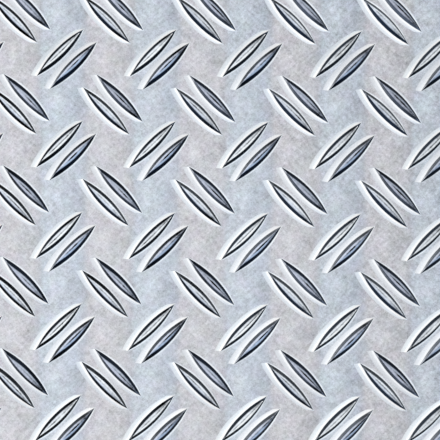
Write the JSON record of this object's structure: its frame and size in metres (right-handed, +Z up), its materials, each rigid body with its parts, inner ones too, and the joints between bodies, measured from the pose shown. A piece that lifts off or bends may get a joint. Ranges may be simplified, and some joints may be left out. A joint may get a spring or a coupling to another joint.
{
  "type": "tread plate sheet",
  "caption": "Flat square panel of aluminium tread plate, with raised lens-shaped bars leaning left and right in turn on top and a smooth underside, for floors and steps",
  "frame": {"origin": "centre of the smooth underside, which lies on the floor", "axes": "+Z up out of the tread side, X and Y along the edges of the sheet; the low ramps at the feet of the bars all face -X"},
  "size_m": [0.2, 0.2, 0.004],
  "materials": {
    "mill_aluminium": "mill-finish rolled aluminium: satin light grey flats with a faint cloudy grain, brighter crowns on the raised bars"
  },
  "bodies": {
    "root": {"tread_plate": "mill_aluminium"}
  },
  "joints": []
}
